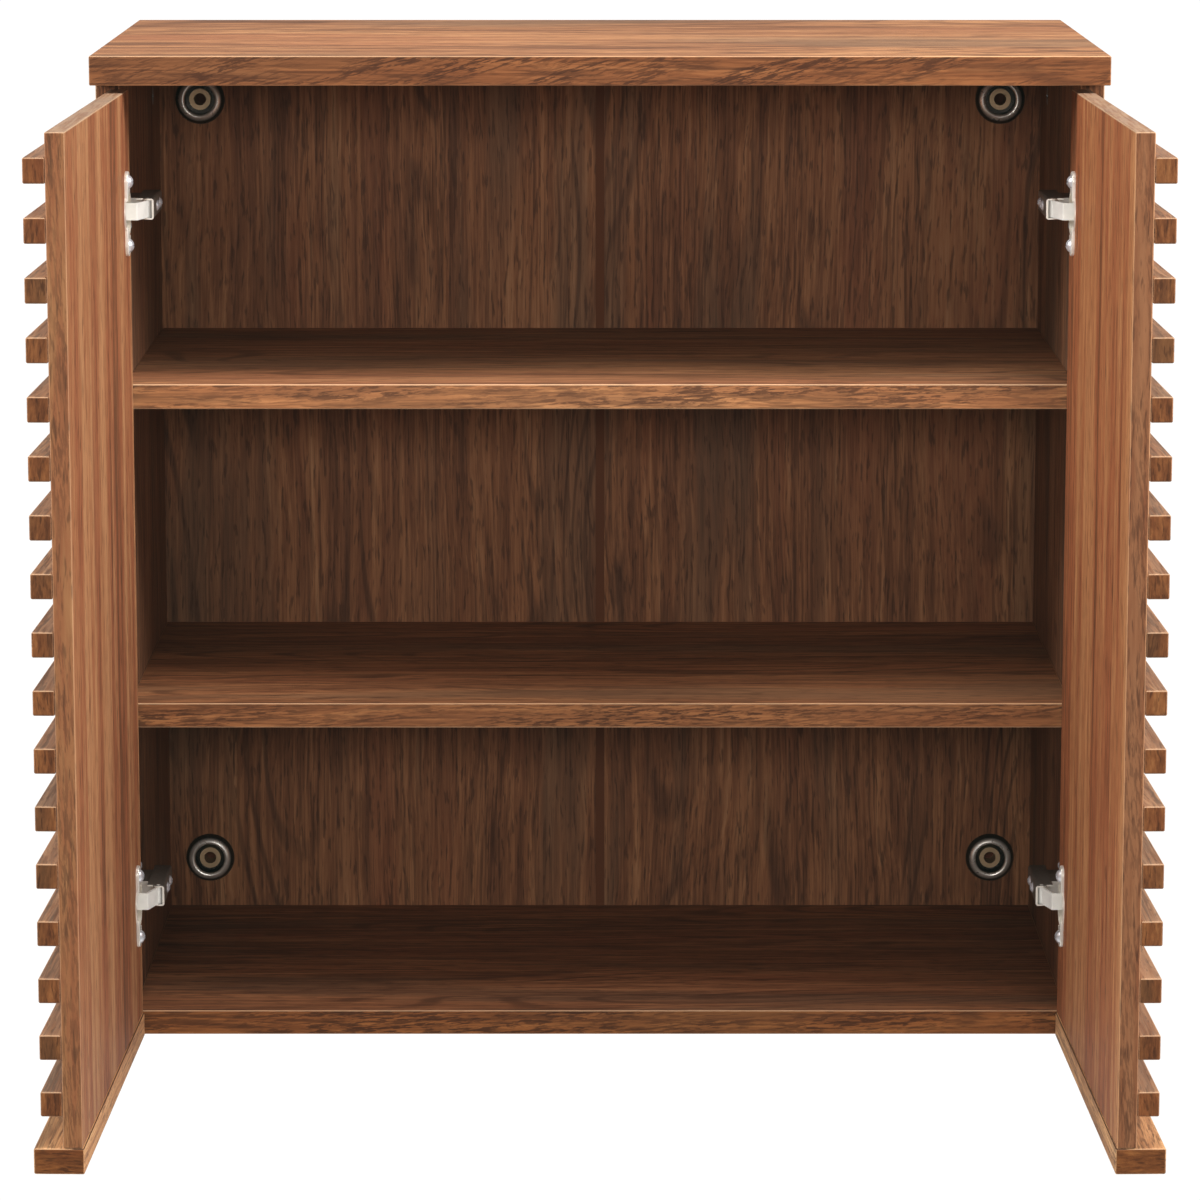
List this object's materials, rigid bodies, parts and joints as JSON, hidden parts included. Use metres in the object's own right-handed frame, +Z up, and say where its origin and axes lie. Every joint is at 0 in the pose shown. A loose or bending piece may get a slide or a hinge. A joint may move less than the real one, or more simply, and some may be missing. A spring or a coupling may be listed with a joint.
{
  "type": "shoe cabinet",
  "caption": "Wall-hung shoe cabinet with shelves and a pair of slatted doors on concealed hinges, shown open.",
  "frame": {"origin": "centre of the four wall fixings, on the wall plane", "axes": "+X to the right, +Y into the wall, +Z up; the doors open towards -Y"},
  "size_m": [0.7996, 0.7599, 0.764],
  "materials": {
    "walnut_panel": "satin walnut laminate with straight grain",
    "walnut_solid": "satin walnut, darker end grain",
    "joiner_strip": "smooth red-brown extrusion",
    "rail_wood": "plain sawn board",
    "chrome_cup": "polished chrome plating",
    "zinc_sleeve": "dull yellow zinc plating",
    "cam_zinc": "cast zinc",
    "hinge_nickel": "bright nickel plating",
    "screw_steel": "bright nickel plating"
  },
  "bodies": {
    "carcass": {"top_panel": "walnut_panel", "left_side_panel": "walnut_panel", "right_side_panel": "walnut_panel", "bottom_panel": "walnut_panel", "upper_shelf": "walnut_panel", "lower_shelf": "walnut_panel", "left_back_panel": "walnut_panel", "right_back_panel": "walnut_panel", "back_joiner_strip": "joiner_strip", "mounting_rails": "rail_wood", "wall_fixing_cups": "chrome_cup", "wall_fixing_sleeves": "zinc_sleeve", "cam_fasteners": "cam_zinc", "hinge_base_plates": "hinge_nickel", "hinge_arms": "hinge_nickel", "hinge_screws": "screw_steel"},
    "left_links": {"left_hinge_links": "hinge_nickel"},
    "right_links": {"right_hinge_links": "hinge_nickel"},
    "left_door": {"left_door_panel": "walnut_panel", "left_door_rail": "walnut_solid", "left_hinge_cups": "hinge_nickel", "left_cup_screws": "screw_steel", "left_door_slat_01": "walnut_solid", "left_door_slat_02": "walnut_solid", "left_door_slat_03": "walnut_solid", "left_door_slat_04": "walnut_solid", "left_door_slat_05": "walnut_solid", "left_door_slat_06": "walnut_solid", "left_door_slat_07": "walnut_solid", "left_door_slat_08": "walnut_solid", "left_door_slat_09": "walnut_solid", "left_door_slat_10": "walnut_solid", "left_door_slat_11": "walnut_solid", "left_door_slat_12": "walnut_solid", "left_door_slat_13": "walnut_solid", "left_door_slat_14": "walnut_solid", "left_door_slat_15": "walnut_solid", "left_door_slat_16": "walnut_solid", "left_door_slat_17": "walnut_solid"},
    "right_door": {"right_door_panel": "walnut_panel", "right_door_rail": "walnut_solid", "right_hinge_cups": "hinge_nickel", "right_cup_screws": "screw_steel", "right_door_slat_01": "walnut_solid", "right_door_slat_02": "walnut_solid", "right_door_slat_03": "walnut_solid", "right_door_slat_04": "walnut_solid", "right_door_slat_05": "walnut_solid", "right_door_slat_06": "walnut_solid", "right_door_slat_07": "walnut_solid", "right_door_slat_08": "walnut_solid", "right_door_slat_09": "walnut_solid", "right_door_slat_10": "walnut_solid", "right_door_slat_11": "walnut_solid", "right_door_slat_12": "walnut_solid", "right_door_slat_13": "walnut_solid", "right_door_slat_14": "walnut_solid", "right_door_slat_15": "walnut_solid", "right_door_slat_16": "walnut_solid", "right_door_slat_17": "walnut_solid"}
  },
  "joints": [
    {"name": "left_link_turn", "type": "hinge", "parent": "carcass", "child": "left_links", "pos_m": [-0.3431, -0.37057, 0], "axis": [0, 0, 1], "range_deg": [-22.21, 0.6]},
    {"name": "left_door_swing", "type": "hinge", "parent": "left_links", "child": "left_door", "pos_m": [-0.36089, -0.39287, 0], "axis": [0, 0, 1], "range_deg": [-3, 113.6]},
    {"name": "right_link_turn", "type": "hinge", "parent": "carcass", "child": "right_links", "pos_m": [0.3431, -0.37057, 0], "axis": [0, 0, -1], "range_deg": [-22.21, 0.6]},
    {"name": "right_door_swing", "type": "hinge", "parent": "right_links", "child": "right_door", "pos_m": [0.36089, -0.39287, 0], "axis": [0, 0, -1], "range_deg": [-3, 113.6]}
  ],
  "couplings": [
    {"joint": "left_link_turn", "follows": "left_door_swing", "ratio": -0.19539},
    {"joint": "right_link_turn", "follows": "right_door_swing", "ratio": -0.19539}
  ]
}
